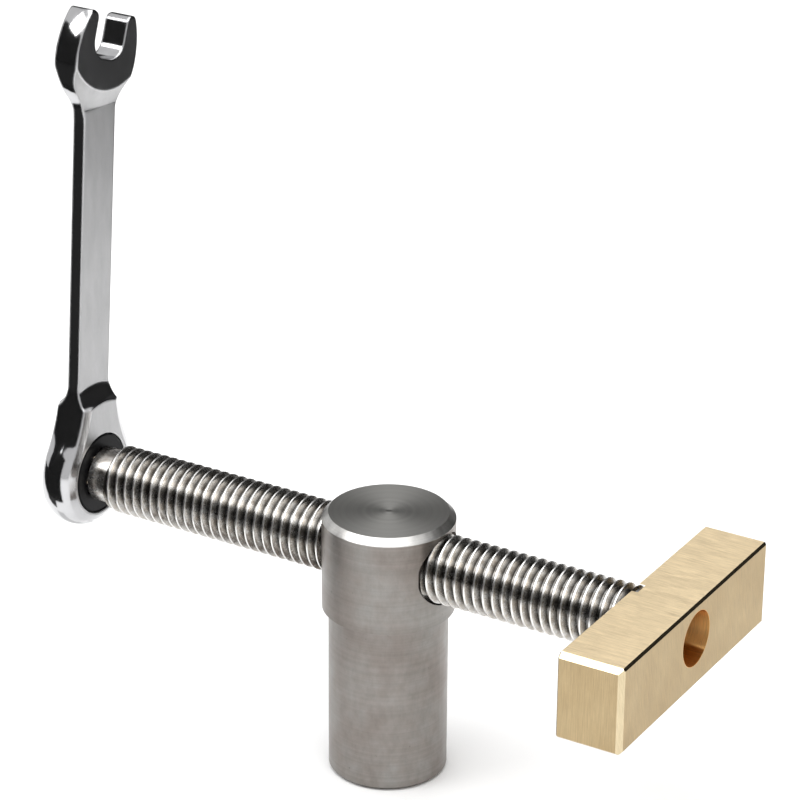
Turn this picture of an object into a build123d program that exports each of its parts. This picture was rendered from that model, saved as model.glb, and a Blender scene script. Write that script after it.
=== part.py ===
from build123d import *
import math
import os

# A bench-dog clamp: a round post for a 20 mm dog hole, a clamp screw through its head,
# a swivelling brass jaw on the screw's nose and a ratchet ring spanner on its hex tail.
# Millimetres. The origin is on the post's axis, level with the shoulder that rests on the bench.
# +Z is up and +X runs along the screw, from the spanner to the jaw.

# ---- driving dimensions -------------------------------------------------------------------
POST_SHANK_RADIUS = 9.95          # turns freely in a 20 mm dog hole
POST_SHANK_LENGTH = 30.0
POST_HEAD_RADIUS = 11.05
POST_HEAD_HEIGHT = 17.1
POST_TOP_CHAMFER = 1.1
POST_FOOT_CHAMFER = 0.6
SCREW_HEIGHT = 9.4                # the screw's axis above the shoulder

PITCH = 1.75                      # M12 coarse thread
THREAD_NOMINAL = 12.0
SCREW_CREST_RADIUS = 5.82
SCREW_ROOT_RADIUS = 4.75
SCREW_FLANK_GAP = -0.1            # the screw's ridges are slimmer than the nominal profile
TAPPED_CREST_RADIUS = 6.1         # the same two radii in the tapped hole, with clearance
TAPPED_ROOT_RADIUS = 5.1
TAPPED_FLANK_GAP = 0.05           # how far each groove of the tapped hole is wider
TAPPED_MOUTH_RADIUS = 6.15
TAPPED_MOUTH_DEPTH = 1.8
END_CHAMFER = 0.5

THREAD_START = -53.8              # x where the plain neck ends and the thread starts
NECK_END = -57.6                  # x where the hex starts, just short of the ratchet gear
NECK_RADIUS = 4.75
NECK_CHAMFER = 0.3
JAW_REAR = 45.0                   # x of the jaw's face that looks back at the post
HEX_ACROSS_FLATS = 8.0
HEX_LENGTH = 7.6

JAW_THICKNESS = 11.15
JAW_LENGTH = 50.5
JAW_HEIGHT = 14.65
JAW_BOTTOM = 0.8                  # the jaw's gap above the bench
JAW_CHAMFER = 0.85                # on one upright edge and one short top edge
JAW_FRONT_CHAMFER = 0.4           # on the rest of the clamping face
JAW_EDGE_BREAK = 0.25             # on the other edges
JAW_BORE_RADIUS = 4.65            # open bore seen in the clamping face
JAW_RECESS_RADIUS = 6.2           # blind recess in the rear face, round the screw's end
JAW_RECESS_DEPTH = 1.3
JAW_WEB = 1.9                     # brass left between the recess and the bore
JOURNAL_RADIUS = 3.0
RUNNING_GAP = 0.1                 # axial gap beside each face that turns
WASHER_BORE_GAP = 0.15
THRUST_WASHER_RADIUS = 5.6
THRUST_WASHER_THICKNESS = 0.8
KEEPER_WASHER_RADIUS = 4.4
KEEPER_WASHER_THICKNESS = 0.5
KEEPER_HEAD_RADIUS = 3.6
KEEPER_HEAD_HEIGHT = 1.4
KEEPER_SHANK_RADIUS = 1.95
KEEPER_SHANK_LENGTH = 9.0
KEEPER_KEY = 2.5                  # hexagon key size

SPANNER_X = -61.1                 # middle plane of the spanner
SPANNER_LEAN = 5.3                # degrees that the handle leans towards +Y
SHANK_THICKNESS = 2.3
SHANK_HALF_WIDTH = 4.25
RING_THICKNESS = 6.9
RING_SIDE_RADIUS = 8.9            # where the swollen side meets the bevels
RING_SIDE_HALF = 2.75             # half height of the swollen side, between the bevels
RING_FRONT_RADIUS = 7.55          # where the bevels meet the flat front and rear faces
RING_REAR_RADIUS = 7.85
RING_FACE_HALF_WIDTH = 2.85       # of the flat faces, along the neck
RING_BULGE = 0.9                  # how far the ring's side swells in its middle
RING_NECK_END = 18.0              # along the handle, where the ring's flare meets the shank
RING_STEP_RADIUS = 10.6           # rounded top of the ring's raised face
RING_STEP_CENTRE = 2.45
STEP_RUN = 4.6                    # length of the hollow ramp from a raised face to the shank
STEP_REACH = 24.0                 # the shank-thick part of each envelope goes on to here
OPEN_CENTRE = 73.2
OPEN_RADIUS = 8.6                 # half way through its thickness
OPEN_BULGE = 0.25                 # how far its side swells past its faces
HORN_STRETCH = 1.32               # the two horns run out past the round by this share
OPEN_THICKNESS = 4.5
OPEN_NECK_START = 62.4
OPEN_STEP_RUN = 5.0
OPEN_STEP_RADIUS = 12.0           # round lower end of the open end's raised face
OPEN_STEP_CENTRE = 6.4            # its centre, beyond the open end's centre along the slot
TIP_ROUND = 1.5
HORN_REACH = 7.95                 # from the open end's centre to the ends of its tips
HORN_END_ROUND = 1.2              # rounds the tips through their thickness
TIP_MARGIN = 0.1                  # the rounding tool stands this far outside the head
SLOT_WIDTH = 8.5
SLOT_FLOOR = -0.25                # from the open end's centre, along the slot
SLOT_CORNER = 3.2
SLOT_TURN = 15.0                  # degrees between the slot and the handle

RING_BORE_RADIUS = 7.35           # open at the rear, where the gear goes in
RING_LIP_RADIUS = 7.0             # front lip that holds the gear in
RING_LIP_THICKNESS = 1.0
RING_LIP_CHAMFER = 0.25
CLIP_GROOVE_RADIUS = 7.7
CLIP_OUTER_RADIUS = 7.6
CLIP_INNER_RADIUS = 6.2
CLIP_THICKNESS = 0.6
CLIP_DEPTH = 0.45                 # of the clip's groove below the ring's rear face
CLIP_GAP_ANGLE = 26.0
GEAR_TEETH = 72
GEAR_TIP_RADIUS = 7.25
GEAR_ROOT_RADIUS = 6.95
GEAR_FRONT_HUB_RADIUS = 6.88      # smooth front end, seen inside the lip
GEAR_REAR_HUB_RADIUS = 6.0
GEAR_FACE_DEPTH = 0.1             # of the gear's ends below the ring's faces
GEAR_HUB_CHAMFER = 0.2
GEAR_BORE_GAP = 0.08              # on each flat of the twelve-point bore
PAWL_HALF_WIDTH = 2.3
PAWL_THICKNESS = 3.2
PAWL_TOP = 9.7
PAWL_TRAVEL = 0.6
SPRING_RADIUS = 1.0
SPRING_WIRE = 0.22                # wire radius
SPRING_LENGTH = 2.8
SPRING_TURNS = 4
INNER_GAP = 0.12

# ---- places worked out from them ----------------------------------------------------------
JAW_FACE = JAW_REAR + JAW_THICKNESS
WEB_REAR = JAW_REAR + JAW_RECESS_DEPTH
WEB_FRONT = WEB_REAR + JAW_WEB
THRUST_FACE = WEB_REAR - RUNNING_GAP - THRUST_WASHER_THICKNESS - RUNNING_GAP
JOURNAL_END = WEB_FRONT + RUNNING_GAP
GEAR_FRONT = RING_THICKNESS / 2 - RING_LIP_THICKNESS - INNER_GAP
GEAR_REAR = -RING_THICKNESS / 2 + CLIP_DEPTH + CLIP_THICKNESS + 2 * INNER_GAP

LEAN = math.radians(SPANNER_LEAN)
ON_SCREW = Plane(origin=(0, 0, SCREW_HEIGHT), x_dir=(0, 1, 0), z_dir=(1, 0, 0))
# In the spanner's plane x runs across the handle, y along it and z towards the post.
ON_SPANNER = Plane(
    origin=(SPANNER_X, 0, SCREW_HEIGHT),
    x_dir=(0, math.cos(LEAN), -math.sin(LEAN)),
    z_dir=(1, 0, 0),
)


def disc(radius, low, high):
    """A plain cylinder about the local z axis, from low to high."""
    return extrude(Plane.XY.offset(low) * Circle(radius), high - low)


def turned(outline):
    """A solid turned about the local z axis from (radius, z) corners."""
    return revolve(Plane.XZ * make_face(Polyline(*outline, close=True)), Axis.Z)


# ---- thread -------------------------------------------------------------------------------
def ridge_half_width(radius, flank_gap):
    """Half of a thread ridge's axial width at a radius, on the 60 degree metric profile."""
    sharp_radius = THREAD_NOMINAL / 2 + PITCH * math.sqrt(3) / 16
    return (sharp_radius - radius) * math.tan(math.radians(30)) + flank_gap


def thread_helix(radius, z):
    return Edge.make_helix(PITCH, PITCH, radius).edges()[0].moved(Location((0, 0, z)))


def threaded_rod(crest, root, flank_gap, low, high):
    """A right-hand threaded rod that covers low to high on the local z axis.

    Its ridges are centred half a pitch past each whole pitch, so two rods are always in step.
    """
    foot = ridge_half_width(root, flank_gap)
    tip = ridge_half_width(crest, flank_gap)
    middle = PITCH / 2
    profile = [
        (root, foot - middle),
        (root, middle - foot),
        (crest, middle - tip),
        (crest, middle + tip),
        (root, middle + foot),
    ]
    first = math.floor(low / PITCH) - 1
    last = math.ceil(high / PITCH) + 1
    faces = []
    for turn in range(first, last):
        curves = [thread_helix(radius, turn * PITCH + z) for radius, z in profile]
        faces += [Face.make_surface_from_curves(a, b) for a, b in zip(curves, curves[1:])]
    for turn in (first, last):
        base = turn * PITCH
        z = base + profile[0][1]
        axis = Edge.make_line((0, 0, z), (0, 0, z + PITCH))
        faces.append(Face.make_surface_from_curves(thread_helix(root, z), axis))
        corners = [Vector(0, 0, z)]
        corners += [Vector(radius, 0, base + offset_z) for radius, offset_z in profile]
        corners += [Vector(0, 0, z + PITCH)]
        faces.append(Face(Wire.make_polygon(corners, close=True)))
    return Solid(Shell(faces))


# ---- post and screw -----------------------------------------------------------------------
def dog_post():
    head, shank = POST_HEAD_RADIUS, POST_SHANK_RADIUS
    post = turned(
        [
            (0, -POST_SHANK_LENGTH),
            (shank - POST_FOOT_CHAMFER, -POST_SHANK_LENGTH),
            (shank, -POST_SHANK_LENGTH + POST_FOOT_CHAMFER),
            (shank, 0),
            (head, 0),
            (head, POST_HEAD_HEIGHT - POST_TOP_CHAMFER),
            (head - POST_TOP_CHAMFER, POST_HEAD_HEIGHT),
            (0, POST_HEAD_HEIGHT),
        ]
    )
    tap = threaded_rod(TAPPED_CREST_RADIUS, TAPPED_ROOT_RADIUS, TAPPED_FLANK_GAP, -head, head)
    mouth = disc(TAPPED_MOUTH_RADIUS, head - TAPPED_MOUTH_DEPTH, head + 1)
    far_mouth = disc(TAPPED_MOUTH_RADIUS, -head - 1, -head + TAPPED_MOUTH_DEPTH)
    return post - ON_SCREW * tap - ON_SCREW * mouth - ON_SCREW * far_mouth


def clamp_screw():
    crest = SCREW_CREST_RADIUS
    rod = threaded_rod(crest, SCREW_ROOT_RADIUS, SCREW_FLANK_GAP, THREAD_START, THRUST_FACE)
    blank = turned(
        [
            (0, THREAD_START),
            (crest - END_CHAMFER, THREAD_START),
            (crest + END_CHAMFER, THREAD_START + 2 * END_CHAMFER),
            (crest + END_CHAMFER, THRUST_FACE - 2 * END_CHAMFER),
            (crest - END_CHAMFER, THRUST_FACE),
            (0, THRUST_FACE),
        ]
    )
    neck = disc(NECK_RADIUS, NECK_END, THREAD_START + END_CHAMFER)
    neck = chamfer(neck.edges().filter_by(GeomType.CIRCLE).sort_by(Axis.Z)[0], NECK_CHAMFER)
    hex_end = NECK_END - HEX_LENGTH
    tail = extrude(
        Plane.XY.offset(hex_end) * RegularPolygon(HEX_ACROSS_FLATS / 2, 6, major_radius=False),
        HEX_LENGTH,
    )
    corner = HEX_ACROSS_FLATS / math.sqrt(3)
    tail &= turned(
        [
            (0, hex_end),
            (corner - END_CHAMFER, hex_end),
            (corner + END_CHAMFER, hex_end + END_CHAMFER),
            (corner + END_CHAMFER, NECK_END),
            (0, NECK_END),
        ]
    )
    journal = disc(JOURNAL_RADIUS, THRUST_FACE, JOURNAL_END)
    keeper_hole = disc(KEEPER_SHANK_RADIUS + WASHER_BORE_GAP, JOURNAL_END - 10, JOURNAL_END)
    return ON_SCREW * ((rod & blank) + neck + tail + journal - keeper_hole)


# ---- jaw and what holds it on the screw ---------------------------------------------------
def is_square_corner(edge):
    """True for the jaw's three long corner edges that are still sharp."""
    centre = edge.center()
    at_side = abs(abs(centre.Y) - JAW_LENGTH / 2) < 0.01
    low = abs(centre.Z - JAW_BOTTOM) < 0.01
    high = abs(centre.Z - JAW_BOTTOM - JAW_HEIGHT) < 0.01
    return at_side and (low or high)


def jaw_block():
    middle_z = JAW_BOTTOM + JAW_HEIGHT / 2
    block = Pos(JAW_REAR + JAW_THICKNESS / 2, 0, middle_z) * Box(
        JAW_THICKNESS, JAW_LENGTH, JAW_HEIGHT
    )
    near_edge = block.edges().filter_by(Axis.Z).sort_by(Axis.X)[-2:].sort_by(Axis.Y)[0]
    short_top_edge = block.edges().filter_by(Axis.X).sort_by(Axis.Y)[:2].sort_by(Axis.Z)[-1]
    block = chamfer([near_edge, short_top_edge], JAW_CHAMFER)
    front_edges = block.faces().sort_by(Axis.X)[-1].edges()
    block = chamfer(front_edges.sort_by(Axis.Y)[1:], JAW_FRONT_CHAMFER)
    rear_edges = block.faces().sort_by(Axis.X)[0].edges()
    sharp_edges = block.edges().filter_by(Axis.X).sort_by(Axis.Y)
    sharp_edges = [edge for edge in sharp_edges if is_square_corner(edge)]
    block = chamfer(rear_edges + sharp_edges, JAW_EDGE_BREAK)
    recess = disc(JAW_RECESS_RADIUS, JAW_REAR - 1, WEB_REAR)
    eye = disc(JOURNAL_RADIUS + WASHER_BORE_GAP, WEB_REAR - 1, WEB_FRONT + 1)
    bore = disc(JAW_BORE_RADIUS, WEB_FRONT, JAW_FACE + 1)
    return block - ON_SCREW * recess - ON_SCREW * eye - ON_SCREW * bore


def washer(outer, inner, low, thickness):
    ring = disc(outer, low, low + thickness) - disc(inner, low, low + thickness)
    return ON_SCREW * chamfer(ring.edges().filter_by(GeomType.CIRCLE), 0.1)


def thrust_washer():
    return washer(
        THRUST_WASHER_RADIUS,
        JOURNAL_RADIUS + WASHER_BORE_GAP,
        THRUST_FACE + RUNNING_GAP,
        THRUST_WASHER_THICKNESS,
    )


def keeper_washer():
    return washer(
        KEEPER_WASHER_RADIUS,
        KEEPER_SHANK_RADIUS + WASHER_BORE_GAP,
        JOURNAL_END,
        KEEPER_WASHER_THICKNESS,
    )


def keeper_screw():
    seat = JOURNAL_END + KEEPER_WASHER_THICKNESS
    top = seat + KEEPER_HEAD_HEIGHT
    head = chamfer(disc(KEEPER_HEAD_RADIUS, seat, top).edges().sort_by(Axis.Z)[-1], 0.3)
    shank = disc(KEEPER_SHANK_RADIUS, seat - KEEPER_SHANK_LENGTH, seat)
    shank = chamfer(shank.edges().sort_by(Axis.Z)[0], 0.3)
    key = RegularPolygon(KEEPER_KEY / 2, 6, major_radius=False)
    socket = extrude(Plane.XY.offset(seat - 0.2) * key, KEEPER_HEAD_HEIGHT + 1)
    return ON_SCREW * (head + shank - socket)


# ---- ratchet spanner ----------------------------------------------------------------------
def flare_arc_radius(ring_radius, centre, end, half_width):
    """Radius of the hollow arc that touches a round end and then the shank's edge."""
    reach = end - centre
    return (half_width**2 + reach**2 - ring_radius**2) / (2 * (ring_radius - half_width))


def flare(ring_radius, centre, end, half_width):
    """Where a hollow arc leaves a round end, its middle, and where it meets the shank."""
    hollow = flare_arc_radius(ring_radius, centre, end, half_width)
    direction = Vector(half_width + hollow, end - centre).normalized()
    touch = Vector(0, centre) + direction * ring_radius
    hollow_centre = Vector(half_width + hollow, end)
    halfway = (touch - hollow_centre).normalized() + Vector(-1, 0)
    middle = hollow_centre + halfway.normalized() * hollow
    return (touch.X, touch.Y), (middle.X, middle.Y), (half_width, end)


def mirrored(points):
    return [(-x, y) for x, y in points]


def paddle(ring_radius, centre, end, half_width):
    """A round end that flares into the shank: one large arc, two hollow arcs and a flat."""
    right = flare(ring_radius, centre, end, half_width)
    left = mirrored(right)
    side = 1 if end > centre else -1
    edges = [
        ThreePointArc(right[0], (0, centre - side * ring_radius), left[0]),
        ThreePointArc(*left),
        Line(left[2], right[2]),
        ThreePointArc(*right[::-1]),
    ]
    return Wire(edges)


def on_open_circle(radius, degrees):
    angle = math.radians(degrees)
    return (radius * math.cos(angle), OPEN_CENTRE + radius * math.sin(angle))


def horned(radius):
    """The open end's outline before the slot is cut: a paddle drawn out along the slot."""
    right = flare(radius, OPEN_CENTRE, OPEN_NECK_START, SHANK_HALF_WIDTH)
    left = mirrored(right)
    low = math.degrees(math.atan2(right[0][1] - OPEN_CENTRE, right[0][0]))
    start, stop = -SLOT_TURN, 180 - SLOT_TURN
    right_waist, left_waist = on_open_circle(radius, start), on_open_circle(radius, stop)
    right_middle = on_open_circle(radius, (low + start) / 2)
    left_middle = on_open_circle(radius, (180 - low + stop) / 2)
    horns = EllipticalCenterArc(
        (0, OPEN_CENTRE), radius, radius * HORN_STRETCH, arc_size=180, rotation=-SLOT_TURN
    )
    edges = [
        ThreePointArc(right[0], right_middle, right_waist),
        horns,
        ThreePointArc(left_waist, left_middle, left[0]),
        ThreePointArc(*left),
        Line(left[2], right[2]),
        ThreePointArc(*right[::-1]),
    ]
    return Wire(edges)


def neck_layer(ring_radius, half_width, height):
    outline = paddle(ring_radius, 0, RING_NECK_END, half_width)
    return outline.moved(Location((0, 0, height)))


def ring_end():
    """The ring head: its side swells between two bevels and fades out along the neck."""
    side = []
    for share in (-1, -0.6, -0.2, 0.2, 0.6, 1):
        radius = RING_SIDE_RADIUS + RING_BULGE * (1 - share**2)
        side.append(neck_layer(radius, SHANK_HALF_WIDTH, share * RING_SIDE_HALF))
    half = RING_THICKNESS / 2
    front = neck_layer(RING_FRONT_RADIUS, RING_FACE_HALF_WIDTH, half)
    rear = neck_layer(RING_REAR_RADIUS, RING_FACE_HALF_WIDTH, -half)
    bevels = [
        Solid.make_loft([side[-1], front], ruled=True),
        Solid.make_loft([rear, side[0]], ruled=True),
    ]
    return Solid.make_loft(side) + bevels


def raised_face(radius, half_thickness, run):
    """A turned envelope: full thickness inside a radius, a hollow ramp, then shank thickness."""
    shank = SHANK_THICKNESS / 2
    sag = (math.sqrt(2) - 1) / math.sqrt(2)
    corners = [
        (radius, half_thickness),
        (radius + sag * run, shank + sag * (half_thickness - shank)),
        (radius + run, shank),
    ]
    ramps = []
    for sign in (1, -1):
        ramps.append(ThreePointArc(*[(r, sign * z) for r, z in corners]))
    ends = [
        Line((0, half_thickness), (radius, half_thickness)),
        Line((radius + run, shank), (STEP_REACH, shank)),
        Line((STEP_REACH, shank), (STEP_REACH, -shank)),
        Line((STEP_REACH, -shank), (radius + run, -shank)),
        Line((radius, -half_thickness), (0, -half_thickness)),
        Line((0, -half_thickness), (0, half_thickness)),
    ]
    return revolve(Plane.XZ * make_face(ends + ramps), Axis.Z)


def along_slot(distance):
    """A place on the slot's middle line, measured from the open end's centre."""
    return Pos(0, OPEN_CENTRE) * Rot(0, 0, -SLOT_TURN) * Pos(0, distance)


def horn_end_tool():
    """A long bar along the slot, as thick as the open end, with round corners at the tips."""
    angle = math.radians(SLOT_TURN)
    side_view = Plane(
        origin=(0, OPEN_CENTRE, 0),
        x_dir=(math.sin(angle), math.cos(angle), 0),
        z_dir=(math.cos(angle), -math.sin(angle), 0),
    )
    long = 6 * OPEN_RADIUS
    bar = Pos(HORN_REACH - long / 2, 0) * RectangleRounded(long, OPEN_THICKNESS, HORN_END_ROUND)
    return extrude(side_view * bar, 2 * OPEN_RADIUS, both=True)


def open_end():
    """The open end: swollen sides, a slot cut between two horns, and rounded tips."""
    layers = []
    for share in (-1, -0.6, -0.2, 0.2, 0.6, 1):
        outline = horned(OPEN_RADIUS - OPEN_BULGE * share**2)
        layers.append(outline.moved(Location((0, 0, share * OPEN_THICKNESS / 2))))
    long = 2 * OPEN_RADIUS
    slot = along_slot(SLOT_FLOOR + long / 2) * RectangleRounded(SLOT_WIDTH, long, SLOT_CORNER)
    trim = make_face(horned(OPEN_RADIUS + TIP_MARGIN)) - slot
    trim = fillet(trim.vertices().sort_by(Axis.Y)[-2:], TIP_ROUND)
    head = Solid.make_loft(layers) & extrude(
        Plane.XY.offset(-OPEN_THICKNESS) * trim, 2 * OPEN_THICKNESS
    )
    envelope = raised_face(OPEN_STEP_RADIUS, OPEN_THICKNESS / 2, OPEN_STEP_RUN)
    return head & (along_slot(OPEN_STEP_CENTRE) * envelope) & horn_end_tool()


def pawl_pocket():
    width = 2 * (PAWL_HALF_WIDTH + INNER_GAP)
    top = PAWL_TOP + PAWL_TRAVEL + INNER_GAP
    floor = GEAR_REAR_HUB_RADIUS
    height = top - floor
    middle = (GEAR_FRONT + GEAR_REAR) / 2
    pocket = Pos(0, floor + height / 2, middle) * Box(
        width, height, PAWL_THICKNESS + 2 * INNER_GAP
    )
    spring_room = Pos(0, top, middle) * Rot(-90, 0, 0) * disc(
        SPRING_RADIUS + SPRING_WIRE + INNER_GAP, -INNER_GAP, SPRING_LENGTH - PAWL_TRAVEL
    )
    return pocket + spring_room


def lip_chamfer():
    """The cone that breaks the front edge of the ring's lip."""
    face = RING_THICKNESS / 2
    inner, outer = RING_LIP_RADIUS, RING_LIP_RADIUS + RING_LIP_CHAMFER
    floor = face - RING_LIP_CHAMFER
    return turned([(0, floor), (inner, floor), (outer, face), (outer, face + 1), (0, face + 1)])


def spanner_body():
    half = RING_THICKNESS / 2
    # The shank runs on into both heads, well inside their outlines.
    shank_from, shank_to = RING_STEP_RADIUS + RING_STEP_CENTRE, OPEN_CENTRE - OPEN_RADIUS
    shank = Pos(0, (shank_from + shank_to) / 2) * Box(
        2 * SHANK_HALF_WIDTH, shank_to - shank_from, SHANK_THICKNESS
    )
    step = Pos(0, RING_STEP_CENTRE) * raised_face(RING_STEP_RADIUS, half, STEP_RUN)
    body = (ring_end() & step) + shank + open_end()
    groove_floor = -half + CLIP_DEPTH
    body -= disc(RING_BORE_RADIUS, -half - 1, half - RING_LIP_THICKNESS)
    body -= disc(RING_LIP_RADIUS, -half, half + 1)
    body -= lip_chamfer()
    body -= disc(CLIP_GROOVE_RADIUS, groove_floor, groove_floor + CLIP_THICKNESS + 2 * INNER_GAP)
    body -= pawl_pocket()
    return ON_SPANNER * body


def retaining_clip():
    low = -RING_THICKNESS / 2 + CLIP_DEPTH + INNER_GAP
    clip = disc(CLIP_OUTER_RADIUS, low, low + CLIP_THICKNESS)
    clip -= disc(CLIP_INNER_RADIUS, low, low + CLIP_THICKNESS)
    reach = 2 * CLIP_OUTER_RADIUS
    half_gap = math.radians(CLIP_GAP_ANGLE / 2)
    wedge = Polyline(
        (0, 0),
        (reach * math.sin(half_gap), -reach * math.cos(half_gap)),
        (-reach * math.sin(half_gap), -reach * math.cos(half_gap)),
        close=True,
    )
    clip -= extrude(Plane.XY.offset(-reach) * make_face(wedge), 2 * reach)
    return ON_SPANNER * clip


def tooth_ring(root, tip, teeth):
    """A closed zigzag outline of sharp teeth, with a tooth tip on the local y axis."""
    corners = []
    for step in range(2 * teeth):
        angle = math.pi / 2 + math.pi * step / teeth
        radius = root if step % 2 else tip
        corners.append((radius * math.cos(angle), radius * math.sin(angle)))
    return make_face(Polyline(*corners, close=True))


def ratchet_gear():
    half = RING_THICKNESS / 2
    gear = extrude(
        Plane.XY.offset(GEAR_REAR) * tooth_ring(GEAR_ROOT_RADIUS, GEAR_TIP_RADIUS, GEAR_TEETH),
        GEAR_FRONT - GEAR_REAR,
    )
    front_hub = disc(GEAR_FRONT_HUB_RADIUS, 0, half - GEAR_FACE_DEPTH)
    front_hub = chamfer(front_hub.edges().sort_by(Axis.Z)[-1], GEAR_HUB_CHAMFER)
    rear_hub = disc(GEAR_REAR_HUB_RADIUS, -half + GEAR_FACE_DEPTH, 0)
    rear_hub = chamfer(rear_hub.edges().sort_by(Axis.Z)[0], GEAR_HUB_CHAMFER)
    flat = HEX_ACROSS_FLATS / 2 + GEAR_BORE_GAP
    bore = RegularPolygon(flat, 6, major_radius=False)
    bore += Rot(0, 0, 30) * bore
    # The twelve-point bore lines up with the screw's hex, not with the leaning handle.
    bore = Rot(0, 0, SPANNER_LEAN) * bore
    gear = gear + front_hub + rear_hub - extrude(Plane.XY.offset(-half) * bore, 2 * half)
    return ON_SPANNER * gear


def ratchet_pawl():
    middle = (GEAR_FRONT + GEAR_REAR) / 2
    floor = GEAR_ROOT_RADIUS - 0.3
    height = PAWL_TOP - floor
    pawl = Pos(0, floor + height / 2, middle) * Box(2 * PAWL_HALF_WIDTH, height, PAWL_THICKNESS)
    gap = INNER_GAP / 2
    mesh = tooth_ring(GEAR_ROOT_RADIUS + gap, GEAR_TIP_RADIUS + gap, GEAR_TEETH)
    pawl -= extrude(Plane.XY.offset(-RING_THICKNESS) * mesh, 2 * RING_THICKNESS)
    return ON_SPANNER * pawl


def pawl_spring():
    middle = (GEAR_FRONT + GEAR_REAR) / 2
    coil = SPRING_LENGTH - 2 * SPRING_WIRE - 2 * INNER_GAP
    path = Edge.make_helix(coil / SPRING_TURNS, coil, SPRING_RADIUS - SPRING_WIRE)
    start = Plane(path @ 0, z_dir=path % 0)
    wire = sweep(start * Circle(SPRING_WIRE), path)
    seat = PAWL_TOP + SPRING_WIRE + INNER_GAP
    return ON_SPANNER * Pos(0, seat, middle) * Rot(-90, 0, 0) * wire


PIECES = {
    "dog_post": dog_post,
    "clamp_screw": clamp_screw,
    "thrust_washer": thrust_washer,
    "jaw_block": jaw_block,
    "keeper_washer": keeper_washer,
    "keeper_screw": keeper_screw,
    "spanner_body": spanner_body,
    "retaining_clip": retaining_clip,
    "ratchet_gear": ratchet_gear,
    "ratchet_pawl": ratchet_pawl,
    "pawl_spring": pawl_spring,
}

os.makedirs("parts", exist_ok=True)
for name, make in PIECES.items():
    export_step(make(), f"parts/{name}.step")
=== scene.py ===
import math

import bpy
from mathutils import Matrix, Vector

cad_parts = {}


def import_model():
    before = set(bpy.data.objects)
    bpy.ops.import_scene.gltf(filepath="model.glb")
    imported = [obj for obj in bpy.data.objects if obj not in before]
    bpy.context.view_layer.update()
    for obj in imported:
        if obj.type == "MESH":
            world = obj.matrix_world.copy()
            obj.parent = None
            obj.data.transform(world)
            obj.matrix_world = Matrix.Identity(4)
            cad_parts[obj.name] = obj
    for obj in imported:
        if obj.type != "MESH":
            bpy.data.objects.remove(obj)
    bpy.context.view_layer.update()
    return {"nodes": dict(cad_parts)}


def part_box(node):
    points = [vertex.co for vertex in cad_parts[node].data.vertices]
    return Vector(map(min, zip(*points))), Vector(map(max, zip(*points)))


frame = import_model()
MM = 0.001

# Places on the part, in millimetres. FLOOR_Z and SCREW_BOX are in metres.
FLOOR_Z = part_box("dog_post")[0].z
POST_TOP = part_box("dog_post")[1].z / MM
SCREW_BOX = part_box("clamp_screw")
SCREW_AXIS = (SCREW_BOX[0].z + SCREW_BOX[1].z) / 2 / MM
SCREW_CREST = (SCREW_BOX[1].z - SCREW_BOX[0].z) / 2 / MM
NECK_LENGTH = 11.4                  # hex tail and round neck, up to the first thread
NECK_FRONT = SCREW_BOX[0].x / MM + NECK_LENGTH
JAW_BORE_RADIUS = 4.7
OPEN_FACE_Y = 8.9
OPEN_FACE_Z = SCREW_AXIS + 78.9
OPEN_FACE_RADIUS = 12.0             # round end of the open end's recessed face

# The camera, solved together with the sizes. Angles are degrees.
CAMERA_AZIMUTH = 30.768
CAMERA_ELEVATION = 24.382
CAMERA_ROLL = 0.404
CAMERA_DISTANCE = 527.2 * MM
CAMERA_TARGET = Vector((1.94, 0, 37.40)) * MM
CAMERA_LENS = 147.88
CAMERA_SENSOR = 36

PART_MIDDLE = Vector((0, 0, 0.03))  # where the lights point, in metres
MOST = (0.3, 0.7)                   # where most of a noise's values lie


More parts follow.
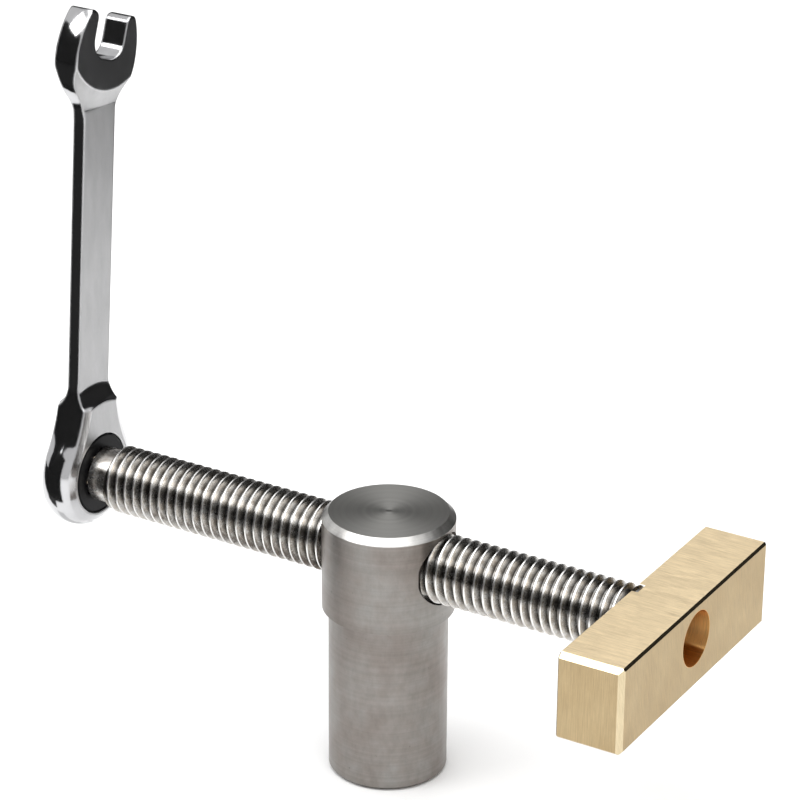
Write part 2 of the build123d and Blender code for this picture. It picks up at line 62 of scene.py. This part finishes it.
# ---- node helpers -------------------------------------------------------------------------
class Shader:
    """A principled material and short ways to add nodes to it. Lengths are millimetres."""

    def __init__(self, name, colour, metallic=1.0, roughness=0.3):
        self.material = bpy.data.materials.new(name)
        self.material.use_nodes = True
        self.tree = self.material.node_tree
        self.shader = self.tree.nodes["Principled BSDF"]
        self.shader.inputs["Base Color"].default_value = (*colour, 1)
        self.shader.inputs["Metallic"].default_value = metallic
        self.shader.inputs["Roughness"].default_value = roughness
        self.coordinates = self.node("ShaderNodeTexCoord")

    def node(self, kind, **settings):
        """Adds a node and sets its options."""
        made = self.tree.nodes.new(kind)
        for key, value in settings.items():
            setattr(made, key, value)
        return made

    def feed(self, target, value):
        """Links a socket, or sets a plain value."""
        if isinstance(value, bpy.types.NodeSocket):
            self.tree.links.new(value, target)
        else:
            target.default_value = value

    def into(self, name, value):
        """Feeds one of the shader's own sockets."""
        self.feed(self.shader.inputs[name], value)

    def math(self, operation, first, second=0.0):
        """One sum on one or two numbers."""
        made = self.node("ShaderNodeMath", operation=operation)
        self.feed(made.inputs[0], first)
        self.feed(made.inputs[1], second)
        return made.outputs[0]

    def parts(self, vector):
        """The x, y and z of a vector."""
        split = self.node("ShaderNodeSeparateXYZ")
        self.feed(split.inputs[0], vector)
        return list(split.outputs)

    def join(self, x=0.0, y=0.0, z=0.0):
        """A vector from its x, y and z."""
        made = self.node("ShaderNodeCombineXYZ")
        for target, value in zip(made.inputs, (x, y, z)):
            self.feed(target, value)
        return made.outputs[0]

    def place(self, scale=(1, 1, 1), turn=(0, 0, 0)):
        """Object coordinates in millimetres, turned and then scaled."""
        mapping = self.node("ShaderNodeMapping", vector_type="TEXTURE")
        mapping.inputs["Rotation"].default_value = turn
        mapping.inputs["Scale"].default_value = [MM / value for value in scale]
        self.feed(mapping.inputs["Vector"], self.coordinates.outputs["Object"])
        return mapping.outputs["Vector"]

    def facing(self, axis):
        """How squarely the surface faces along a local axis, from 0 to 1."""
        return self.math("ABSOLUTE", self.parts(self.coordinates.outputs["Normal"])[axis])

    def noise(self, vector, scale=1.0, detail=3.0, roughness=0.5):
        """Cloudy noise from 0 to 1, with features about a unit of the vector across."""
        noise = self.node("ShaderNodeTexNoise")
        noise.inputs["Scale"].default_value = scale
        noise.inputs["Detail"].default_value = detail
        noise.inputs["Roughness"].default_value = roughness
        self.feed(noise.inputs["Vector"], vector)
        return noise.outputs["Fac"]

    def ramp(self, value, low, high, from_low=0.0, from_high=1.0):
        """Maps from_low..from_high to low..high, and holds the ends."""
        span = self.node("ShaderNodeMapRange")
        self.feed(span.inputs["Value"], value)
        ends = {"From Min": from_low, "From Max": from_high, "To Min": low, "To Max": high}
        for key, end in ends.items():
            self.feed(span.inputs[key], end)
        return span.outputs["Result"]

    def mix(self, share, first, second):
        """Blends two colours."""
        made = self.node("ShaderNodeMix", data_type="RGBA")
        self.feed(made.inputs["Factor"], share)
        for name, value in (("A", first), ("B", second)):
            target = [socket for socket in made.inputs if socket.name == name][2]
            self.feed(target, value if isinstance(value, bpy.types.NodeSocket) else (*value, 1))
        return [socket for socket in made.outputs if socket.name == "Result"][2]

    def mix_value(self, share, first, second):
        """Blends two plain values."""
        made = self.node("ShaderNodeMix", data_type="FLOAT")
        for place, value in zip((0, 2, 3), (share, first, second)):
            self.feed(made.inputs[place], value)
        return made.outputs[0]

    def scaled(self, colour, factor):
        """A colour made lighter or darker."""
        made = self.node("ShaderNodeVectorMath", operation="SCALE")
        self.feed(made.inputs[0], colour)
        self.feed(made.inputs["Scale"], factor)
        return made.outputs[0]

    def surface(self, height=None, depth=0.01, edge=0.0):
        """Bump from a height, over edges rounded by the bevel radius."""
        normal = None
        if edge:
            bevel = self.node("ShaderNodeBevel", samples=6)
            bevel.inputs["Radius"].default_value = edge * MM
            normal = bevel.outputs["Normal"]
        if height is not None:
            bump = self.node("ShaderNodeBump")
            bump.inputs["Strength"].default_value = 1.0
            bump.inputs["Distance"].default_value = depth * MM
            self.feed(bump.inputs["Height"], height)
            if normal:
                self.feed(bump.inputs["Normal"], normal)
            normal = bump.outputs["Normal"]
        self.into("Normal", normal)

    def along(self, vector):
        """A direction on the object, turned with it, as the shader's tangent."""
        made = self.node("ShaderNodeVectorTransform", vector_type="VECTOR")
        made.convert_from = "OBJECT"
        made.convert_to = "WORLD"
        self.feed(made.inputs[0], vector)
        self.into("Tangent", made.outputs[0])

    def turned_round(self, amount, axis):
        """Stretches highlights across the turning marks round an axis."""
        tangent = self.node("ShaderNodeTangent", direction_type="RADIAL", axis=axis)
        self.into("Tangent", tangent.outputs["Tangent"])
        self.into("Anisotropic", amount)
        self.into("Anisotropic Rotation", 0.25)


def dress(node, material):
    """Gives a CAD node one material."""
    mesh = frame["nodes"][node].data
    if not mesh.materials:
        mesh.materials.append(material)
    for place in range(len(mesh.materials)):
        mesh.materials[place] = material


# ---- materials ----------------------------------------------------------------------------
def distance(made, first, second):
    """How far a place is from an axis, from its two offsets."""
    squares = [made.math("MULTIPLY", value, value) for value in (first, second)]
    return made.math("SQRT", made.math("ADD", *squares))


def post_steel():
    """Turned stainless steel: rings on the top, fine rings and faint scuffs on the side, and a painted
    highlight on the top chamfer.
    """
    side_warm, side_cool = (0.275, 0.246, 0.225), (0.26, 0.25, 0.236)
    # The rim colour is a painted highlight for the chamfer round the top.
    top_grey, rim_painted_highlight = (0.36, 0.355, 0.34), (0.66, 0.65, 0.63)
    rim_start, rim_full = POST_TOP - 1.25, POST_TOP - 1.1
    made = Shader("post_steel", (0.3, 0.3, 0.3))
    x, y, z = made.parts(made.place())
    radius = distance(made, x, y)
    top = made.ramp(made.facing(2), 0, 1, 0.9, 0.97)
    across = made.join(radius, 0.0, z)
    fine = made.noise(across, scale=7.0, detail=4, roughness=0.7)
    coarse = made.noise(across, scale=1.3, detail=2)
    scuffs = made.noise(made.place((0.7, 0.7, 0.35)), detail=6, roughness=0.65)
    smudge = made.noise(made.place((0.13, 0.13, 0.11)), detail=5, roughness=0.6)
    pits = made.noise(made.place((1.3, 1.3, 0.8)), detail=2)
    side = made.math("MULTIPLY", made.ramp(scuffs, 0.86, 1.1, *MOST), made.ramp(smudge, 0.78, 1.16, *MOST))
    side = made.math("MULTIPLY", side, made.ramp(pits, 0.6, 1.0, 0.2, 0.27))
    rings = made.math("MULTIPLY", made.ramp(fine, 0.9, 1.1), made.ramp(coarse, 0.93, 1.07, *MOST))
    centre_dot = made.ramp(radius, 0.5, 1.0, 0.2, 0.6)
    shade = made.math("MULTIPLY", rings, made.mix_value(top, side, centre_dot))
    tint = made.mix(made.ramp(smudge, 0, 1, 0.4, 0.65), side_warm, side_cool)
    tint = made.mix(top, tint, top_grey)
    # Painted highlight: the chamfer round the top is given a near-white colour.
    rim_highlight_mask = made.math("MULTIPLY", made.ramp(z, 0, 1, rim_start, rim_full), made.math("SUBTRACT", 1.0, top))
    tint = made.mix(rim_highlight_mask, tint, rim_painted_highlight)
    made.into("Base Color", made.scaled(tint, shade))
    side_rough = made.ramp(scuffs, 0.3, 0.46, *MOST)
    made.into("Roughness", made.mix_value(top, side_rough, 0.4))
    made.turned_round(0.4, "Z")
    height = made.math("ADD", made.math("MULTIPLY", fine, 0.6), made.math("MULTIPLY", scuffs, 0.5))
    made.surface(height, 0.006, edge=0.1)
    return made.material


def screw_steel():
    """Bright machined stainless steel, with painted shade at the roots of the thread and a painted
    highlight along its crest.
    """
    # The crest colour is a painted highlight.
    stained, clean, crest_painted_highlight = (0.72, 0.67, 0.61), (0.76, 0.75, 0.73), (0.95, 0.94, 0.92)
    made = Shader("screw_steel", (0.6, 0.6, 0.6))
    x, y, z = made.parts(made.place())
    radius = distance(made, y, made.math("SUBTRACT", z, SCREW_AXIS))
    # Painted shade: the colour darkens towards the roots of the thread, where shade falls; the neck is
    # left out.
    root_painted_shade = made.ramp(radius, 0.26, 0.84, SCREW_CREST - 1.0, SCREW_CREST - 0.25)
    on_neck = made.ramp(x, 1, 0, NECK_FRONT - 0.1, NECK_FRONT)
    root_painted_shade = made.mix_value(on_neck, root_painted_shade, 1.0)
    marks = made.noise(made.join(made.math("MULTIPLY", x, 12.0), 0.0, radius), detail=3, roughness=0.7)
    stains = made.noise(made.place((0.5, 0.9, 0.9)), detail=5, roughness=0.65)
    shade = made.math("MULTIPLY", root_painted_shade, made.ramp(marks, 0.85, 1.12, 0.25, 0.75))
    shade = made.math("MULTIPLY", shade, made.ramp(stains, 0.75, 1.1, *MOST))
    tint = made.mix(made.ramp(stains, 0, 1, 0.4, 0.6), stained, clean)
    # Painted highlight: a near-white colour on a thin band along the crest.
    crest = made.ramp(radius, 0, 1, SCREW_CREST - 0.13, SCREW_CREST - 0.05)
    made.into("Base Color", made.mix(crest, made.scaled(tint, shade), crest_painted_highlight))
    made.into("Roughness", made.mix_value(crest, made.ramp(stains, 0.19, 0.31, *MOST), 0.3))
    made.surface(made.math("ADD", marks, stains), 0.004)
    return made.material


def jaw_brass():
    """Linished brass: long marks across the top, upright marks on the ends and faces; painted highlights
    on the top and the chamfers, painted light in the bore.
    """
    face_dark, face_light = (0.44, 0.33, 0.185), (0.48, 0.37, 0.215)
    # The top and chamfer colours are painted highlights, and the bore colour is painted light inside the
    # bore.
    top_painted_highlight, edge_painted_highlight, bore_painted_light = (0.74, 0.6, 0.39), (0.66, 0.55, 0.36), (0.95, 0.55, 0.2)
    bore_inner, bore_outer = JAW_BORE_RADIUS - 0.02, JAW_BORE_RADIUS + 0.02
    slant = (math.radians(12), 0, 0)
    made = Shader("jaw_brass", (0.8, 0.6, 0.3))
    y, z = made.parts(made.place())[1:]
    faces_up = made.ramp(made.facing(2), 0, 1, 0.6, 0.8)
    faces_end = made.ramp(made.facing(1), 0, 1, 0.6, 0.8)
    along_top = made.noise(made.place((0.3, 8.0, 1.0)), detail=5, roughness=0.72)
    along_end = made.noise(made.place((8.0, 1.0, 0.25)), detail=5, roughness=0.72)
    along_face = made.noise(made.place((1.0, 6.0, 0.25), slant), detail=5, roughness=0.72)
    marks = made.mix_value(faces_end, along_face, along_end)
    marks = made.mix_value(faces_up, marks, along_top)
    cloud = made.noise(made.place((0.11, 0.11, 0.11)), detail=4)
    radius = distance(made, y, made.math("SUBTRACT", z, SCREW_AXIS))
    bore = made.ramp(radius, 1, 0, bore_inner, bore_outer)
    shade = made.math("MULTIPLY", made.ramp(marks, 0.74, 1.15, *MOST), made.ramp(cloud, 0.94, 1.05))
    tint = made.mix(made.ramp(cloud, 0, 1, *MOST), face_dark, face_light)
    # Painted highlight: the faces that point up get a lighter gold.
    tint = made.mix(faces_up, tint, top_painted_highlight)
    squarest = made.math("MAXIMUM", made.facing(1), made.facing(2))
    squarest = made.math("MAXIMUM", made.facing(0), squarest)
    cut_edge = made.ramp(squarest, 1, 0, 0.8, 0.92)
    # Painted highlight on the chamfers: a lighter gold. Their lower roughness below is a real polish.
    tint = made.mix(cut_edge, tint, edge_painted_highlight)
    # Painted light: the bore inside the jaw is given a bright orange.
    made.into("Base Color", made.scaled(made.mix(bore, tint, bore_painted_light), shade))
    rough = made.ramp(marks, 0.3, 0.46, 0.28, 0.72)
    rough = made.mix_value(cut_edge, rough, 0.14)
    made.into("Roughness", made.mix_value(bore, rough, 0.42))
    made.into("Anisotropic", 0.85)
    made.along(made.join(faces_end, made.math("SUBTRACT", 1.0, faces_end)))
    made.surface(marks, 0.016, edge=0.05)
    return made.material


def spanner_chrome():
    """Chrome: satin on the shank and the ring's face, mirror bright elsewhere."""
    bright, satin_grey = (0.56, 0.56, 0.57), (0.47, 0.47, 0.475)
    open_end_start, open_end_full = 55, 62
    made = Shader("spanner_chrome", (0.6, 0.6, 0.61))
    y, z = made.parts(made.place())[1:]
    from_open_face = distance(
        made, made.math("SUBTRACT", y, OPEN_FACE_Y), made.math("SUBTRACT", z, OPEN_FACE_Z)
    )
    below = made.ramp(from_open_face, 0, 1, OPEN_FACE_RADIUS - 0.1, OPEN_FACE_RADIUS + 0.1)
    least_facing = made.ramp(z, 0.985, 0.6, open_end_start, open_end_full)
    full_facing = made.math("ADD", least_facing, 0.014)
    flat = made.math("MULTIPLY", below, made.ramp(made.facing(0), 0, 1, least_facing, full_facing))
    ripple = made.noise(made.place((0.3, 0.3, 0.14)), detail=2)
    grain = made.noise(made.place((3.0, 3.0, 1.6)), detail=5, roughness=0.7)
    smears = made.noise(made.place((0.3, 0.35, 0.1)), detail=5, roughness=0.6)
    tint = made.mix(flat, bright, satin_grey)
    made.into("Base Color", made.scaled(tint, made.ramp(smears, 0.9, 1.05, *MOST)))
    polish = made.ramp(smears, 0.05, 0.12, *MOST)
    satin = made.ramp(grain, 0.34, 0.46, *MOST)
    made.into("Roughness", made.mix_value(flat, polish, satin))
    height = made.math("ADD", ripple, made.math("MULTIPLY", grain, 0.2))
    made.surface(height, 0.007, edge=0.6)
    return made.material


def black_steel():
    """Black oxide with a little wear."""
    oxide, worn = (0.006, 0.006, 0.007), (0.03, 0.029, 0.028)
    made = Shader("black_steel", (0.03, 0.03, 0.033), metallic=0.6)
    grain = made.noise(made.place((3, 3, 3)), detail=5, roughness=0.7)
    wear = made.ramp(grain, 0, 1, 0.5, 0.8)
    made.into("Base Color", made.mix(wear, oxide, worn))
    made.into("Roughness", made.ramp(grain, 0.35, 0.55, *MOST))
    made.into("Specular IOR Level", 0.18)
    made.surface(grain, 0.008, edge=0.08)
    return made.material


def plain_steel():
    """Plain washers and spring wire."""
    dull, bright = (0.4, 0.39, 0.38), (0.6, 0.59, 0.57)
    made = Shader("plain_steel", (0.5, 0.5, 0.5))
    grain = made.noise(made.place((5, 5, 5)), detail=5, roughness=0.7)
    made.into("Base Color", made.mix(grain, dull, bright))
    made.into("Roughness", made.ramp(grain, 0.25, 0.4, *MOST))
    made.surface(grain, 0.006, edge=0.06)
    return made.material


# ---- stage --------------------------------------------------------------------------------
def plane(name, size, place, face=(0, 0, 1)):
    """A flat sheet that faces a direction."""
    half_x, half_y = size[0] / 2, size[1] / 2
    corners = [(-half_x, -half_y, 0), (half_x, -half_y, 0), (half_x, half_y, 0), (-half_x, half_y, 0)]
    mesh = bpy.data.meshes.new(name)
    mesh.from_pydata(corners, [], [(0, 1, 2, 3)])
    made = bpy.data.objects.new(name, mesh)
    made.rotation_euler = Vector(face).to_track_quat("Z", "Y").to_euler()
    made.location = place
    bpy.context.scene.collection.objects.link(made)
    return made


def matte(name, colour):
    """Paper or card with no gloss."""
    made = Shader(name, colour, metallic=0.0, roughness=0.9)
    made.into("Specular IOR Level", 0.0)
    return made.material


def floor():
    """White paper under the post's foot."""
    made = plane("floor", (6, 6), (0, 0, FLOOR_Z))
    made.data.materials.append(matte("floor_paper", (0.9, 0.9, 0.9)))


def flag(name, azimuth, elevation, spread, rise, distance=1.4, shade=0.02):
    """A dark card that only shows in reflections, by its direction and angular size."""
    azimuth, elevation = math.radians(azimuth), math.radians(elevation)
    towards = Vector(
        (
            math.cos(azimuth) * math.cos(elevation),
            math.sin(azimuth) * math.cos(elevation),
            math.sin(elevation),
        )
    )
    size = [2 * distance * math.tan(math.radians(angle) / 2) for angle in (spread, rise)]
    made = plane(name, size, towards * distance, -towards)
    reflection_only(made, name, shade)


def floor_flag(name, low, high, shade=0.02):
    """A dark card that lies just over the floor and only shows in reflections."""
    size = [(b - a) * MM for a, b in zip(low, high)]
    centre = [(a + b) / 2 * MM for a, b in zip(low, high)]
    made = plane(name, size, (*centre, FLOOR_Z + 0.5 * MM))
    reflection_only(made, name, shade)


def wall_flag(name, low, high, shade=0.02):
    """An upright dark card that faces along y and only shows in reflections."""
    size = ((high[0] - low[0]) * MM, (high[2] - low[2]) * MM)
    centre = [(a + b) / 2 * MM for a, b in zip(low, high)]
    made = plane(name, size, centre, (0, -1, 0))
    reflection_only(made, name, shade)


def reflection_only(card, name, shade):
    """Hides a card from everything but reflections."""
    card.data.materials.append(matte(name, (shade, shade, shade)))
    card.visible_camera = False
    card.visible_diffuse = False
    card.visible_shadow = False


def softbox(name, place, size, power):
    """A soft white light that points at the part."""
    light = bpy.data.lights.new(name, "AREA")
    light.shape = "RECTANGLE"
    light.size, light.size_y = size
    light.energy = power
    made = bpy.data.objects.new(name, light)
    made.location = place
    away = Vector(place) - PART_MIDDLE
    made.rotation_euler = away.to_track_quat("Z", "Y").to_euler()
    bpy.context.scene.collection.objects.link(made)


def world(strength):
    """Even white light from all round."""
    made = bpy.data.worlds.new("studio")
    made.use_nodes = True
    background = made.node_tree.nodes["Background"]
    background.inputs["Color"].default_value = (1, 1, 1, 1)
    background.inputs["Strength"].default_value = strength
    bpy.context.scene.world = made


def camera():
    """The camera stands to the front right, a little above, and looks past the post's head."""
    azimuth, elevation, roll = map(math.radians, (CAMERA_AZIMUTH, CAMERA_ELEVATION, CAMERA_ROLL))
    back = Vector(
        (
            math.sin(azimuth) * math.cos(elevation),
            -math.cos(azimuth) * math.cos(elevation),
            math.sin(elevation),
        )
    )
    lens = bpy.data.cameras.new("camera")
    lens.sensor_width = CAMERA_SENSOR
    lens.lens = CAMERA_LENS
    made = bpy.data.objects.new("camera", lens)
    turn = back.to_track_quat("Z", "Y").to_matrix() @ Matrix.Rotation(roll, 3, "Z")
    made.matrix_world = Matrix.Translation(CAMERA_TARGET + back * CAMERA_DISTANCE) @ turn.to_4x4()
    bpy.context.scene.collection.objects.link(made)
    bpy.context.scene.camera = made


# ---- the scene ----------------------------------------------------------------------------
MATERIALS = {
    "dog_post": post_steel(),
    "clamp_screw": screw_steel(),
    "jaw_block": jaw_brass(),
    "spanner_body": spanner_chrome(),
}
black, plain = black_steel(), plain_steel()
for name in ("ratchet_gear", "ratchet_pawl", "retaining_clip", "keeper_screw"):
    MATERIALS[name] = black
for name in ("thrust_washer", "keeper_washer", "pawl_spring"):
    MATERIALS[name] = plain
for name, material in MATERIALS.items():
    dress(name, material)

bpy.context.scene.view_settings.view_transform = "Standard"
floor()
world(0.8)
softbox("overhead", place=(0.05, -0.1, 0.8), size=(0.7, 0.7), power=4.5)
softbox("rear_top", place=(-0.22, 0.36, 0.8), size=(0.4, 0.4), power=1)
softbox("left_key", place=(-0.42, -0.42, 0.72), size=(0.35, 0.35), power=2)

# Dark cards round the part, for the dark bands in the thread and the chrome.
flag("back_dark", azimuth=121, elevation=16, spread=64, rise=48, shade=0.05)
flag("back_right_dark", azimuth=62, elevation=20, spread=60, rise=76, shade=0.03)
flag("right_dark", azimuth=8, elevation=8, spread=14, rise=16, shade=0.12)
flag("left_dark", azimuth=236, elevation=18, spread=72, rise=50, distance=1.0)

# Dark cards over the floor, for the dark side of the spanner. Corners are millimetres.
floor_flag("behind", (-3000, 222), (3000, 3000), 0.05)
floor_flag("front_left", (-1500, -1500), (-100, -25))
floor_flag("front_left_near", (-100, -1500), (-80, -78))
floor_flag("under_ring", (-112, -78), (-80, -20), 0.05)
floor_flag("ring_underside", (-82, -14), (-70, 30), 0.6)
wall_flag("ring_dark", (-160, -38, -29), (-58, -38, 12))
camera()
